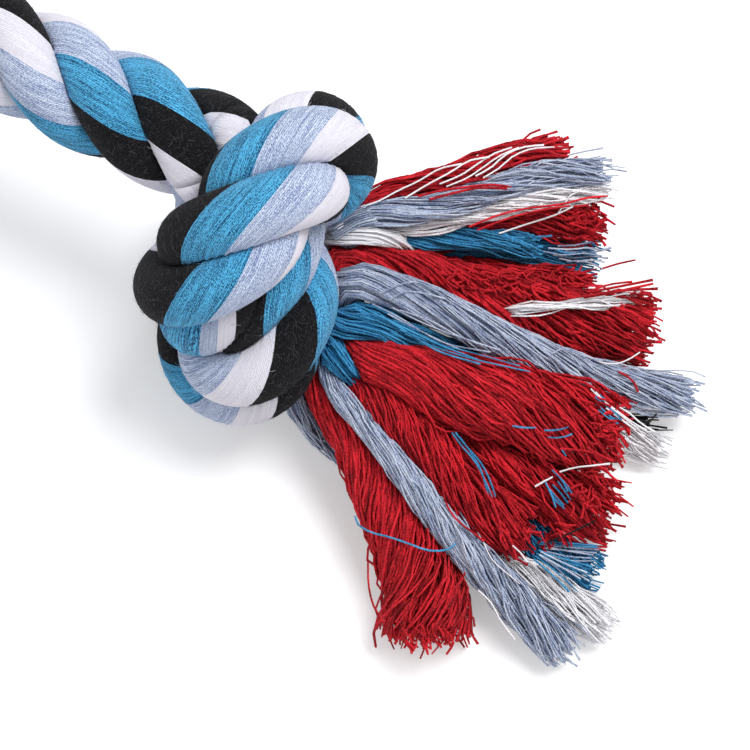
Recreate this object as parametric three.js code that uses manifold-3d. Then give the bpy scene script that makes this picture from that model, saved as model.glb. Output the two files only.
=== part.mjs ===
// Rope dog toy: three laid strands, an overhand knot at each end and a tassel past each knot.
// Millimetres, +Z up, the rope along X, and the floor that the toy lies on at Z = 0.
import * as THREE from "three";
import Module from "manifold-3d";

const manifold = await Module();
manifold.setup();

// The laid rope
const STRAND_OFFSET = 4.5; // from the rope's middle line to a strand's
const STRAND_RADIUS = 4.9; // before the strands press one another flat
const STRAND_COUNT = 3;
const letters = ["a", "b", "c"];
const LAY_LENGTH = 41;
const PHASE_AT_MIDDLE = Math.PI; // so that the far half is the near one turned
const STRAND_GAP = 0.5; // left between pressed strands
const END_GAP = 0.3; // left where one stretch of a strand meets the next
const THINNEST_STRAND = 1;

// The knots: strands stand a little further out than in the straight rope
const KNOT_SWELL_SHARE = 1.12;
const SWELL_LENGTH = 12;
const SWELL_RADIUS_SHARE = 1.06;
const KNOT_STRAND_RADIUS = STRAND_RADIUS * SWELL_RADIUS_SHARE;
// The knot's strands wind tighter than the straight rope's, up to this much further, and slacken
// again towards the tassel
const KNOT_TURN = THREE.MathUtils.degToRad(70);
const TURN_RISE = [60, 180]; // along the rope from its middle
const TURN_FALL = [200, 250];

// The route of the rope's middle line from mid-rope through the near knot to its tassel,
// chosen by hand; the far half is the same route turned half a turn about Z
const ROPE_ROUTE = [
  [0, 0, 43], [14, 0, 43], [28, 0, 43], [42, 0, 43],
  [55, 0, 43], [62, -2, 40.5], [67, -6, 38.5], [71.5, -11, 35.5], [73.7, -17, 32], [73, -20.3, 25.5],
  [70, -21, 19], [65.5, -18, 13], [61.5, -13, 9.4], [58, -6.5, 8.3], [56.5, 0.5, 10.8], [57.5, 4.5, 17.8],
  [62, 6.5, 24.5], [65.5, 7, 30.5], [68, 8.5, 37], [68.5, 7.5, 44], [68.3, 3.2, 50], [67.5, -3.5, 53],
  [66, -10.2, 52], [64.2, -15.6, 47.5], [63, -18.6, 41.5], [61.5, -18.5, 34], [61.5, -14, 28], [64, -8.5, 24],
  [69, -5, 20], [73, -4.5, 18.5],
];
const KNOT_MOUTH = 55; // along the rope from its middle to where the knot begins

// Sampling: the middle lines are measured finely, the solids take wider steps
const SAMPLE_STEP = 1;
const ROUTE_SMOOTHING = 13;
const STRAND_STEP = 2.9;
const STRAND_SIDES = 8;
const OWN_REACH_SHARE = 0.4; // of a lay along the strand, and nearer is no other pass
const OWN_REACH = OWN_REACH_SHARE * LAY_LENGTH;
const NEARBY_STEP_SHARE = 1; // of a step, looked over either way for the least reach

// The rest: each knot is cut flat where it stands on the floor. The route's lowest stretch is
// laid so that a tenth of a strand's width is cut away
const FLOOR_HEIGHT = 0;

// The tassels
const BUNDLE_START_RADIUS = 3.2;
const BUNDLE_START_OFFSET = 3.3; // from a strand's middle line to a skin bundle's
const CORE_START_OFFSET = 1.5;
const BUNDLE_GAP = 0.9;
const THINNEST_BUNDLE = 0.25;
const BUNDLE_STEPS = 8;
const BUNDLE_CROWDING = 1.3; // above 1, a bundle's rings stand closer near its start
const BUNDLE_SIDES = 7;
const THROAT_LENGTH = 9; // of the knot's last stretch, which the bundles leave end on
const BUNDLE_START = 1.55; // past the middle of a strand's end face
const BUNDLE_LEAD = 3; // straight on from the strand's end before a bundle turns its own way
const TASSEL_LIFT = 0.4; // the tassel's yarns carry nothing, so they stay just clear of the floor

// How far each bundle spreads from its middle line at its cut end, read from the photograph
const BUNDLE_SPREADS = {
  a_red_1: 2.4, a_light_blue: 3.3, a_white: 2.4, a_red_2: 4.4, a_turquoise: 3.6, a_black: 3,
  b_red_1: 6.6, b_white: 2.4, b_light_blue: 3.5, b_turquoise: 3.8, b_red_2: 8, b_black: 2.6,
  c_red_1: 7, c_light_blue: 4, c_white: 3.6, c_turquoise: 3.8, c_red_2: 8, c_black: 3.2,
};

// Where each bundle of the near tassel runs past its strand's end, chosen by hand
const BUNDLE_ROUTES = {
  a_red_1: [[77.5, 9.5, 27], [81.5, 14.5, 26], [86.5, 20.5, 24], [92, 28.5, 21], [97.5, 35.5, 18]],
  a_light_blue: [[78, 7.5, 28], [83, 12.5, 28], [87.5, 18.5, 26], [95.5, 27, 22], [106, 36, 17]],
  a_white: [[80.5, 8.5, 23], [86, 13.5, 23], [92, 20, 21], [98.5, 28, 17], [107.5, 34.5, 13]],
  a_red_2: [[80.5, 9.5, 17], [87, 14.5, 17], [94, 21.5, 15], [101.5, 27.5, 12], [108, 30, 10]],
  a_turquoise: [[81.5, 10, 12], [87.5, 14, 11], [95.5, 19, 9], [103, 23.5, 7], [111, 27, 5]],
  a_black: [[81, 11, 6], [87.5, 13.5, 5], [96.5, 17, 4], [106.5, 20.5, 3]],
  b_red_1: [
    [78.5, 2.5, 22.5], [84.5, 4, 22], [92, 5.5, 19], [99, 7, 17],
    [107.5, 10, 13], [115, 14, 10], [122, 18, 8],
  ],
  b_white: [
    [77.5, 3, 28], [82, 6, 27], [86, 8, 20], [90, 11, 11],
    [97, 11, 10], [104.5, 12, 13], [112.5, 17.5, 11], [121, 23, 7],
  ],
  b_light_blue: [
    [81, -3.5, 28], [89, -1, 27], [98, 0.5, 24], [105.5, 1.5, 21],
    [114, 3.5, 16], [123.5, 7, 11], [133, 12, 6],
  ],
  b_turquoise: [
    [84, -7.5, 26], [89, -6, 24], [93.5, -4.5, 18], [99, -2, 11],
    [106.5, 0, 7], [115, 2.5, 5], [123.5, 4.5, 4],
  ],
  b_red_2: [
    [87.5, -12, 25], [93.5, -10.5, 25], [101.5, -8.5, 22],
    [110, -6.5, 19], [118.5, -4, 15], [126, -1.5, 11],
  ],
  b_black: [[85, -2.5, 14], [94.5, -2.5, 6], [107, -2, 4], [119, 1.5, 3], [132, 6.5, 3]],
  c_red_1: [[90, -15.5, 22], [96.5, -18, 19], [105, -21, 16], [114, -23, 12], [123.5, -22.5, 9]],
  c_light_blue: [
    [86, -18.5, 23], [92, -21, 22], [103, -25, 19],
    [113, -28.5, 14], [123, -31, 9], [135.5, -34.5, 5],
  ],
  c_white: [
    [86.5, -13.5, 13], [98, -18, 8], [109, -22.5, 6],
    [119.5, -26, 7], [129, -27, 5], [139, -27.5, 4],
  ],
  c_turquoise: [
    [87, -6.5, 9], [94.5, -10, 8], [103, -12, 5],
    [115.5, -16.5, 4], [127.5, -20.5, 4], [133, -20.5, 4],
  ],
  c_red_2: [[84.5, -18.5, 18], [91.5, -23, 16], [100, -29.5, 12], [109, -35.5, 9], [117, -42, 6]],
  c_black: [[83, -16.5, 8], [90, -19.5, 4], [100, -25, 3], [109.5, -30.5, 3]],
};

// Colours read from the photograph
const COLOURS = {
  strand: "#5b7fb4",
  red: "#a8111c",
  black: "#19191b",
  white: "#dcdcea",
  light_blue: "#8ea5d2",
  turquoise: "#1f86bf",
};

function material(colour) {
  return new THREE.MeshStandardMaterial({ color: colour, roughness: 0.95, metalness: 0 });
}

function vectors(points) {
  return points.map(([x, y, z]) => new THREE.Vector3(x, y, z));
}

function halfTurn(v) {
  return new THREE.Vector3(-v.x, -v.y, v.z);
}

// Runs a smooth line through the points and returns it as points one sample step apart
function sampled(points, step, smoothing) {
  const curve = new THREE.CatmullRomCurve3(points, false, "centripetal");
  curve.arcLengthDivisions = points.length * 40;
  const count = Math.round(curve.getLength() / step);
  const line = curve.getSpacedPoints(count);
  for (let pass = 0; pass < smoothing; pass++) {
    const before = line.map((p) => p.clone());
    for (let i = 1; i < line.length - 1; i++) {
      const around = before[i - 1].clone().add(before[i + 1]).multiplyScalar(0.5);
      line[i].lerp(around, 0.5);
    }
  }
  return line;
}

function lengths(line) {
  const along = [0];
  for (let i = 1; i < line.length; i++) along.push(along[i - 1] + line[i].distanceTo(line[i - 1]));
  return along;
}

function tangents(line) {
  return line.map((p, i) => {
    const before = line[Math.max(i - 1, 0)];
    const after = line[Math.min(i + 1, line.length - 1)];
    return after.clone().sub(before).normalize();
  });
}

// Carries a direction square to the line along it without twist, both ways from its middle
function carried(line, along, start, direction) {
  const out = [];
  const carry = (i, from) => {
    out[i] = from.clone().addScaledVector(along[i], -from.dot(along[i])).normalize();
  };
  carry(start, direction);
  for (let i = start + 1; i < line.length; i++) carry(i, out[i - 1]);
  for (let i = start - 1; i >= 0; i--) carry(i, out[i + 1]);
  return out;
}

// The rope's middle line over the whole toy, with its frame and the distance from mid-rope
function ropeLine() {
  const near = vectors(ROPE_ROUTE);
  const far = near.slice(1).reverse().map(halfTurn);
  const points = sampled([...far, ...near], SAMPLE_STEP, ROUTE_SMOOTHING);
  const along = lengths(points);
  const middle = points.reduce((best, p, i) => (Math.abs(p.x) < Math.abs(points[best].x) ? i : best), 0);
  const forward = tangents(points);
  const up = carried(points, forward, middle, new THREE.Vector3(0, 0, 1));
  const side = forward.map((t, i) => t.clone().cross(up[i]));
  return { points, forward, up, side, from: along.map((a) => a - along[middle]) };
}

function swell(from) {
  const inside = (Math.abs(from) - KNOT_MOUTH) / SWELL_LENGTH + 0.5;
  return THREE.MathUtils.smoothstep(inside, 0, 1);
}

function strandRadius(from) {
  return STRAND_RADIUS * (1 + (SWELL_RADIUS_SHARE - 1) * swell(from));
}

// How much further than the lay alone the strands have turned at a distance from mid-rope
function takenUp(from) {
  const ramp = ([start, end]) => THREE.MathUtils.smoothstep(Math.abs(from), start, end);
  return Math.sign(from) * KNOT_TURN * ramp(TURN_RISE) * (1 - ramp(TURN_FALL));
}

// One strand's middle line: it winds round the rope's
function strandLine(rope, index) {
  return rope.points.map((p, i) => {
    const turn = (2 * Math.PI * rope.from[i]) / LAY_LENGTH + takenUp(rope.from[i]);
    const phase = PHASE_AT_MIDDLE + turn + (2 * Math.PI * index) / STRAND_COUNT;
    const offset = STRAND_OFFSET * (1 + (KNOT_SWELL_SHARE - 1) * swell(rope.from[i]));
    return p
      .clone()
      .addScaledVector(rope.up[i], offset * Math.cos(phase))
      .addScaledVector(rope.side[i], offset * Math.sin(phase));
  });
}

// How far a piece reaches from a middle line's point in each direction square to the line:
// its radius, or less where a plane comes sooner, that shares the distance to another line's
// point by their radii, or touches the round of a point on something hard
function reaches(centre, first, second, radius, sides, others, gap, thinnest) {
  const near = others.filter((o) => o.point.distanceTo(centre) < radius + o.radius + gap);
  return Array.from({ length: sides }, (_, j) => {
    const out = around(first, second, j, sides);
    let reach = radius;
    for (const other of near) {
      const way = other.point.clone().sub(centre);
      const distance = way.length();
      const facing = out.dot(way) / distance;
      if (facing <= 0) continue;
      const plane = other.hard
        ? distance - other.radius - gap
        : ((distance - gap) * radius) / (radius + other.radius);
      reach = Math.min(reach, Math.max(plane / facing, thinnest));
    }
    return reach;
  });
}

function around(first, second, j, sides) {
  const angle = (2 * Math.PI * j) / sides;
  return first.clone().multiplyScalar(Math.cos(angle)).addScaledVector(second, Math.sin(angle));
}

// Rings along a middle line, a step apart. Each takes the least reach found near it, so that
// the flat facets between two rings stay clear of their neighbours too
function pressedRings(path, steps) {
  const rings = [];
  const along = lengths(path.line);
  const first = along[path.first];
  const whole = along[path.last] - first;
  const placed = (n) => first + whole * (n / steps) ** (path.crowding ?? 1);
  for (let n = 0; n <= steps; n++) {
    const want = placed(n);
    const nearby = (placed(Math.min(n + 1, steps)) - placed(Math.max(n - 1, 0))) / 2 * NEARBY_STEP_SHARE;
    const i = along.findIndex((a) => a >= want - SAMPLE_STEP / 1000);
    const within = along.map((a, k) => k).filter((k) => Math.abs(along[k] - along[i]) <= nearby);
    const least = within
      .map((k) => path.reach(k))
      .reduce((a, b) => a.map((r, j) => Math.min(r, b[j])));
    const { first: u, second: v } = path.frame(i);
    rings.push(least.map((r, j) => path.line[i].clone().addScaledVector(around(u, v, j, least.length), r)));
  }
  return rings;
}

// Joins rings of equal size into one closed solid with flat ends
function loft(rings) {
  const sides = rings[0].length;
  const positions = rings.flat().flatMap((p) => [p.x, p.y, p.z]);
  const faces = [];
  for (let i = 0; i < rings.length - 1; i++) {
    for (let j = 0; j < sides; j++) {
      const a = i * sides + j;
      const b = i * sides + ((j + 1) % sides);
      faces.push(a, b, b + sides, a, b + sides, a + sides);
    }
  }
  const last = (rings.length - 1) * sides;
  for (let j = 1; j < sides - 1; j++) {
    faces.push(0, j + 1, j);
    faces.push(last, last + j, last + j + 1);
  }
  const geometry = new THREE.BufferGeometry();
  geometry.setAttribute("position", new THREE.Float32BufferAttribute(positions, 3));
  geometry.setIndex(faces);
  return geometry;
}

// Cuts a solid off flat below a height
function cutFlat(geometry, height) {
  const position = geometry.getAttribute("position");
  const mesh = new manifold.Mesh({
    numProp: 3,
    vertProperties: new Float32Array(position.array),
    triVerts: new Uint32Array(geometry.getIndex().array),
  });
  const cut = new manifold.Manifold(mesh).trimByPlane([0, 0, 1], height).getMesh();
  const out = new THREE.BufferGeometry();
  out.setAttribute("position", new THREE.Float32BufferAttribute(cut.vertProperties, 3));
  out.setIndex(Array.from(cut.triVerts));
  return out;
}

const rope = ropeLine();
const strandLines = Array.from({ length: STRAND_COUNT }, (_, k) => strandLine(rope, k));

// Every strand's points, as neighbours that press on one another
function strandNeighbours(index, at) {
  const out = [];
  strandLines.forEach((line, k) => {
    line.forEach((point, i) => {
      if (k === index && Math.abs(rope.from[i] - rope.from[at]) < OWN_REACH) return;
      out.push({ point, radius: strandRadius(rope.from[i]) });
    });
  });
  return out;
}

// One stretch of one strand, between two distances from mid-rope
function strandStretch(index, start, end) {
  const line = strandLines[index];
  const forward = tangents(line);
  const inside = rope.from.map((f, i) => i).filter((i) => rope.from[i] >= start && rope.from[i] <= end);
  const along = lengths(line);
  const first = inside[0];
  const last = inside[inside.length - 1];
  const frame = (i) => {
    const away = line[i].clone().sub(rope.points[i]);
    away.addScaledVector(forward[i], -away.dot(forward[i])).normalize();
    return { first: away, second: forward[i].clone().cross(away) };
  };
  const reach = (i) => {
    const { first: u, second: v } = frame(i);
    const others = strandNeighbours(index, i);
    const radius = strandRadius(rope.from[i]);
    return reaches(line[i], u, v, radius, STRAND_SIDES, others, STRAND_GAP, THINNEST_STRAND);
  };
  const steps = Math.ceil((along[last] - along[first]) / STRAND_STEP);
  return loft(pressedRings({ line, first, last, frame, reach }, steps));
}

// Bundles that leave one strand's end face evenly spread about its middle line, in the order in
// which their routes lie round it
function fanned(routes, strand, offset) {
  const last = strand.length - 1;
  const forward = tangents(strand)[last];
  const end = strand[last].clone().addScaledVector(rope.forward[last], BUNDLE_START);
  const up = new THREE.Vector3(0, 0, 1).addScaledVector(forward, -forward.z).normalize();
  const side = forward.clone().cross(up);
  const found = routes.map(([name, route]) => {
    const way = new THREE.Vector3(...route[0]).sub(end);
    return { name, route, angle: Math.atan2(way.dot(side), way.dot(up)) };
  });
  found.sort((a, b) => a.angle - b.angle);
  const turn = (2 * Math.PI) / found.length;
  const shift = found.reduce((sum, f, n) => sum + f.angle - n * turn, 0) / found.length;
  return found.map(({ name, route }, n) => {
    const angle = shift + n * turn;
    const start = end
      .clone()
      .addScaledVector(up, offset * Math.cos(angle))
      .addScaledVector(side, offset * Math.sin(angle));
    const lead = start.clone().addScaledVector(rope.forward[last], BUNDLE_LEAD);
    const line = sampled([start, lead, ...vectors(route)], SAMPLE_STEP, 0);
    return { name, line, forward: tangents(line) };
  });
}

// A tassel's bundles: each starts on its strand's end face and runs its own way, and they
// press on one another and on the knot
function tasselBundles() {
  const last = rope.points.length - 1;
  const bundles = [];
  strandLines.forEach((strand, k) => {
    for (const core of [true, false]) {
      const mine = Object.entries(BUNDLE_ROUTES).filter(
        ([name]) => name.startsWith(letters[k]) && name.includes("red") === core,
      );
      bundles.push(...fanned(mine, strand, core ? CORE_START_OFFSET : BUNDLE_START_OFFSET));
    }
  });
  const radiusAt = ({ name, line }, i) => {
    const share = THREE.MathUtils.smoothstep(i / (line.length - 1), 0, 1);
    return THREE.MathUtils.lerp(BUNDLE_START_RADIUS, BUNDLE_SPREADS[name], share);
  };
  const pressing = (bundle) => {
    const out = [];
    for (const other of bundles) {
      if (other === bundle) continue;
      other.line.forEach((point, i) => out.push({ point, radius: radiusAt(other, i) }));
    }
    for (const strand of strandLines) {
      strand.forEach((point, i) => {
        if (rope.from[i] < KNOT_MOUTH || rope.from[i] > rope.from[last] - THROAT_LENGTH) return;
        out.push({ point, radius: KNOT_STRAND_RADIUS, hard: true });
      });
    }
    return out;
  };
  return bundles.map((bundle) => {
    const { line, forward } = bundle;
    const up = carried(line, forward, 0, new THREE.Vector3(0, 0, 1));
    const others = pressing(bundle);
    const frame = (i) => ({ first: up[i], second: forward[i].clone().cross(up[i]) });
    const reach = (i) => {
      const { first: u, second: v } = frame(i);
      const most = radiusAt(bundle, i);
      const among = reaches(line[i], u, v, most, BUNDLE_SIDES, others, BUNDLE_GAP, THINNEST_BUNDLE);
      return among.map((r, j) => clearOfKnot(line[i], around(u, v, j, BUNDLE_SIDES), r));
    };
    const path = { line, first: 0, last: line.length - 1, frame, reach, crowding: BUNDLE_CROWDING };
    const rings = pressedRings(path, BUNDLE_STEPS);
    for (const point of rings.flat()) point.z = Math.max(point.z, TASSEL_LIFT);
    return { name: bundle.name, geometry: loft(rings) };
  });
}

// Shortens a reach from a tassel's middle line where the knot's strands are in the way
function clearOfKnot(from, out, reach) {
  let clear = reach;
  for (const line of strandLines) {
    for (let i = line.length - 1; rope.from[i] > KNOT_MOUTH; i--) {
      const way = line[i].clone().sub(from);
      const along = way.dot(out);
      if (along <= 0) continue;
      const aside = Math.sqrt(Math.max(way.lengthSq() - along * along, 0));
      const swollen = KNOT_STRAND_RADIUS + BUNDLE_GAP;
      if (aside >= swollen) continue;
      const reach = along - Math.sqrt(swollen * swollen - aside * aside);
      clear = Math.min(clear, Math.max(reach, THINNEST_BUNDLE));
    }
  }
  return clear;
}

const endFrom = rope.from[rope.from.length - 1];
const knotStart = KNOT_MOUTH + END_GAP;
const stretches = [
  { name: "rope", start: -KNOT_MOUTH, end: KNOT_MOUTH },
  { name: "near_knot", start: knotStart, end: endFrom },
  { name: "far_knot", start: -endFrom, end: -knotStart },
];

const toy = new THREE.Group();
for (const stretch of stretches) {
  for (let k = 0; k < STRAND_COUNT; k++) {
    let geometry = strandStretch(k, stretch.start, stretch.end);
    if (stretch.name !== "rope") geometry = cutFlat(geometry, FLOOR_HEIGHT);
    const mesh = new THREE.Mesh(geometry, material(COLOURS.strand));
    mesh.name = `${stretch.name}_strand_${letters[k]}`;
    toy.add(mesh);
  }
}

// Prints the least distance between two strands' middle lines, and between one strand's own
// passes, so that the pressing can be judged
function printLeast() {
  let own = Infinity;
  let other = Infinity;
  strandLines.forEach((line, k) => {
    line.forEach((p, i) => {
      for (let m = k; m < STRAND_COUNT; m++) {
        strandLines[m].forEach((q, j) => {
          const apart = p.distanceTo(q);
          if (m !== k) other = Math.min(other, apart);
          else if (Math.abs(rope.from[i] - rope.from[j]) > OWN_REACH) own = Math.min(own, apart);
        });
      }
    });
  });
  console.log(`least between strands ${other.toFixed(2)} mm, between passes ${own.toFixed(2)} mm`);
}
printLeast();

for (const { name, geometry } of tasselBundles()) {
  for (const end of ["near", "far"]) {
    const colour = Object.keys(COLOURS).find((c) => name.includes(c));
    const mesh = new THREE.Mesh(geometry, material(COLOURS[colour]));
    mesh.name = `${end}_tassel_${name}`;
    if (end === "far") mesh.rotation.z = Math.PI;
    toy.add(mesh);
  }
}

export default toy;
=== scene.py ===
import math
import bmesh
import bpy
import numpy as np
from mathutils import Matrix, Vector


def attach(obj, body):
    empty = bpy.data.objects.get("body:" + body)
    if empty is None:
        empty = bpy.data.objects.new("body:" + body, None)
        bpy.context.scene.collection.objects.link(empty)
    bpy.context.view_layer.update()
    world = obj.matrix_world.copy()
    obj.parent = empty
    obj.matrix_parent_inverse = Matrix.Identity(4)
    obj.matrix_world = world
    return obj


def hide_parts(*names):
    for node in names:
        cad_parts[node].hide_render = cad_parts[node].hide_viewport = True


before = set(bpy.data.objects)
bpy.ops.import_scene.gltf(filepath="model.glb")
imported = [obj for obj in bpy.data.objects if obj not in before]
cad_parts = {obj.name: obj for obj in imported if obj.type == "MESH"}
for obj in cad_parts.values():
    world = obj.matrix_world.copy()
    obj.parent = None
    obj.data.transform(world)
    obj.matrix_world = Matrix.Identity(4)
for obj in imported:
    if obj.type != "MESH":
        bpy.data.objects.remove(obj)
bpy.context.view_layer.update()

MM = 0.001

# The camera stands where the photograph was taken, far off with a long lens.
PHOTO_WIDTH = 118.1  # of the scene across the picture, mm, at the knot
LENS = 400
SENSOR = 36
AIM = Vector((90.8, -13.84, 23.41))
TOWARDS_CAMERA = Vector((0.163, -0.301, 0.940)).normalized()
PICTURE_RIGHT = Vector((0.879, 0.477, 0))
PICTURE_UP = Vector((-0.448, 0.826, 0.342))

# The light: one large soft lamp over the camera's right shoulder, and an even white room
LAMP_PLACE = PICTURE_RIGHT * 0.3 + PICTURE_UP * 0.45 + TOWARDS_CAMERA * 0.85
LAMP_STRENGTH = 2.2
LAMP_WIDTH = math.radians(26)
ROOM_STRENGTH = 0.65
PAPER = (0.86, 0.86, 0.87, 1)
PAPER_GLOW = 0.3  # how much of the paper's white is seen only by the camera
PAPER_REACH = 3  # metres from the toy to each edge of the paper

# The laid rope, with the sizes of the CAD source
STRAND_NAMES = "abc"
STRAND_OFFSET = 4.5
STRAND_RADIUS = 4.9
STRAND_COUNT = len(STRAND_NAMES)
LAY_LENGTH = 41
PHASE_AT_MIDDLE = math.pi
KNOT_TURN = math.radians(70)  # more than the straight rope's lay, taken up in the knot
TURN_RISE = (60, 180)
TURN_FALL = (200, 250)
KNOT_MOUTH = 55
KNOT_SWELL = 1.12
SWELL_LENGTH = 12
SWELL_RADIUS = 1.06
OWN_REACH = 0.4 * LAY_LENGTH  # along a strand, within which it doesn't press on itself
PRESS_REACH = 14  # further off than this, no strand presses on another
GRAZING = 0.02  # a way that meets a plane at a smaller cosine than this misses it
FREE = 99  # the reach where nothing presses

# The rope's middle line from mid-rope through the near knot, with the points of the CAD source
ROPE_ROUTE = [
    (0, 0, 43), (14, 0, 43), (28, 0, 43), (42, 0, 43), (55, 0, 43), (62, -2, 40.5), (67, -6, 38.5),
    (71.5, -11, 35.5), (73.7, -17, 32), (73, -20.3, 25.5), (70, -21, 19), (65.5, -18, 13),
    (61.5, -13, 9.4), (58, -6.5, 8.3), (56.5, 0.5, 10.8), (57.5, 4.5, 17.8), (62, 6.5, 24.5),
    (65.5, 7, 30.5), (68, 8.5, 37), (68.5, 7.5, 44), (68.3, 3.2, 50), (67.5, -3.5, 53), (66, -10.2, 52),
    (64.2, -15.6, 47.5), (63, -18.6, 41.5), (61.5, -18.5, 34), (61.5, -14, 28), (64, -8.5, 24),
    (69, -5, 20), (73, -4.5, 18.5),
]
ROUTE_SMOOTHING = 13

# The yarns: four bundles lie side by side as a strand's skin and turn against the lay
SKIN_YARNS = {"black": 17, "white": 14, "light_blue": 16, "turquoise": 17}  # in order round a strand
YARNS_ROUND = sum(SKIN_YARNS.values())  # and as many points round the skin
YARN_TURN = 24.5  # along the strand, for one turn of its yarns
# How often each strand's yarns have turned, by the distance along it, counted on the photograph
YARN_COUNT = [
    [(0, -0.65), (34.5, 0.76), (118, 4.18), (135, 4.96), (212, 8.07), (231, 8.87)],
    [(0, -2.37), (64, 0.26), (105, 2.03), (114, 2.34), (245, 7.38), (257, 7.84)],
    [(0, -0.95), (47, 1.0), (98, 3.06), (223, 8.47), (236, 8.94)],
]
# Where the colours' widths differ from that, as shares by the distance along the strand
EVEN_WIDTHS = tuple(n / YARNS_ROUND for n in SKIN_YARNS.values())
SKIN_WIDTHS = [
    [(246, EVEN_WIDTHS), (257, (0.15, 0.1, 0.1, 0.65))],
    [(44, EVEN_WIDTHS), (54, (0.25, 0.2, 0.2, 0.35)), (66, (0.25, 0.2, 0.2, 0.35)), (76, EVEN_WIDTHS),
     (252, EVEN_WIDTHS), (262, (0.44, 0.1, 0.21, 0.25)), (270, (0.62, 0.1, 0.13, 0.15))],
    [(228, EVEN_WIDTHS), (240, (0.3, 0.2, 0.24, 0.26))],
]
RING_STEP = 0.9  # along the rope, from one ring of skin points to the next
STRAND_TAPER = 5  # of each strand's end, drawn in where its yarns come loose
DRAWN_IN = 0.45  # of its radius, at the very end
SKIN_GAP = 0.1
FIBRES = {"black": 0.85, "white": 0.22, "light_blue": 0.22, "turquoise": 0.3}  # that show, to a mm2
FIBRE_LENGTH = 0.9
FIBRE_RADIUS = 0.014
FIBRE_LENGTHS = (0.5, 1.6)  # the shortest and the longest, in FIBRE_LENGTH

# The patterns in the yarns. Each length is mm along the yarn, and each width is in lines, one of which
# is a loose yarn, or 0.33 mm of a strand's skin. Real yarns there are up to 0.5 mm wide with two plies
# in each; these lines stand for both, and are about as fine as the picture can show.
LINES_ROUND = 92  # on the skin of a strand
LINE_WANDER = 2.0  # lines that one on the skin wanders to its side
WANDER_SCALE = (0.16, 0.3, 0)  # waves of the wandering, to a line across and to a mm along
PLY_TURN = 0.8  # for one turn of a yarn's two plies
FIBRE_SCALE = (2.6, 1, 0)  # streaks of drawn-out fibre, to a line across and to a mm along
SPECK_SCALE = (1.9, 5.6, 0)  # specks half a line wide and 0.2 mm long
RUN_SCALE = 0.3  # changes in each line's own shade, to a mm
PATCH_SCALE = 0.13  # and DUST_SCALE, in the fibre streaks' measure
DUST_SCALE = 2.1
DUST = "#b9bbc4"  # pale fibres and lint caught between the yarns
# How much each pattern counts in a yarn's shade. The crown of each line and the slant of its plies are
# painted shade, darker in the grooves between lines and between plies.
FIBRE_SHADE, SPECK_SHADE, RUN_SHADE, PATCH_SHADE, CROWN_PAINTED_SHADE, PLY_PAINTED_SHADE = 2.2, 5.2, 3.4, 0.4, 0.6, 0.08
YARN_BUMP = 0.12  # of a line's crown above its edges

# The tassels, which start at the knots as in the CAD source
BUNDLE_START_RADIUS = 3.2
BUNDLE_START_OFFSET = 3.3  # of a skin bundle's start from the middle of its strand's end
CORE_START_OFFSET = 1.5  # the same for the red bundles of the core
BUNDLE_START = 1.55  # past the strand's end
BUNDLE_LEAD = 3
THROAT_LENGTH = 9  # of rope at the knot's end, among the bundles and not pressing on them
LEAST_REACH = 0.3
FEW_YARNS = 1  # a bundle of a smaller spread than this presses on nothing
BUNDLE_WAISTS = {"b_white": 1.6, "c_light_blue": 1.5, "c_red_2": 2.7}  # narrower than the rest at first
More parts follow.
